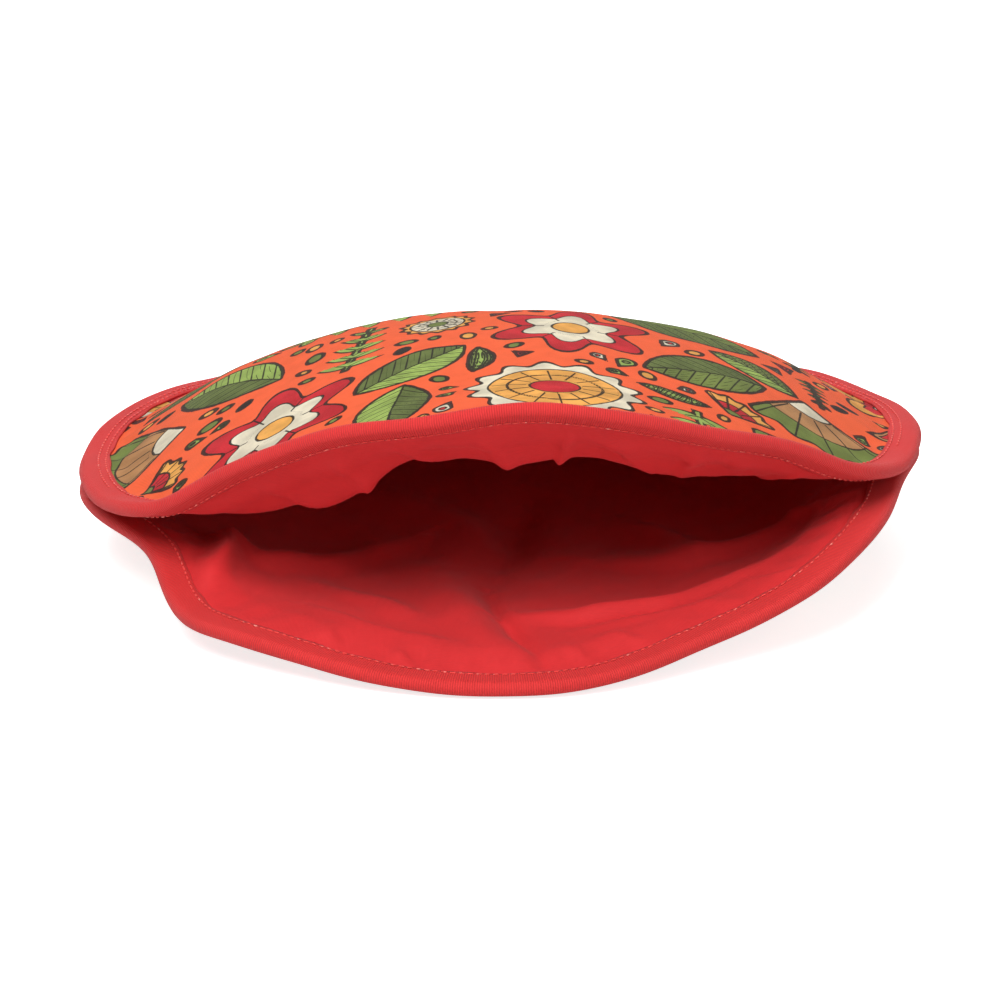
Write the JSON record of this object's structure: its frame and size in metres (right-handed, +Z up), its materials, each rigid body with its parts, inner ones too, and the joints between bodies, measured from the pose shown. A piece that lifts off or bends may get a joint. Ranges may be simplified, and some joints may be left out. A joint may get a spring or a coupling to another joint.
{
  "type": "tortilla warmer",
  "caption": "Round quilted fabric pouch that keeps flat breads warm, two bound discs sewn round the back and open at the front.",
  "frame": {"origin": "middle of the pouch's plan on the surface it lies on", "axes": "+Z up, the open mouth faces -Y, +X to the right of someone looking into the mouth"},
  "size_m": [0.2736, 0.2954, 0.0879],
  "materials": {
    "printed_cloth": "fine twill polyester with an all-over print",
    "wadding": "soft white polyester wadding",
    "red_lining": "smooth plain weave",
    "red_tape": "ribbed tape",
    "red_thread": "sewing thread"
  },
  "bodies": {
    "root": {"upper_cover": "printed_cloth", "lower_cover": "printed_cloth", "upper_wadding": "wadding", "lower_wadding": "wadding", "upper_lining": "red_lining", "lower_lining": "red_lining", "upper_binding": "red_tape", "lower_binding": "red_tape", "upper_binding_stitching": "red_thread", "lower_binding_stitching": "red_thread", "closing_seam": "red_thread"}
  },
  "joints": []
}
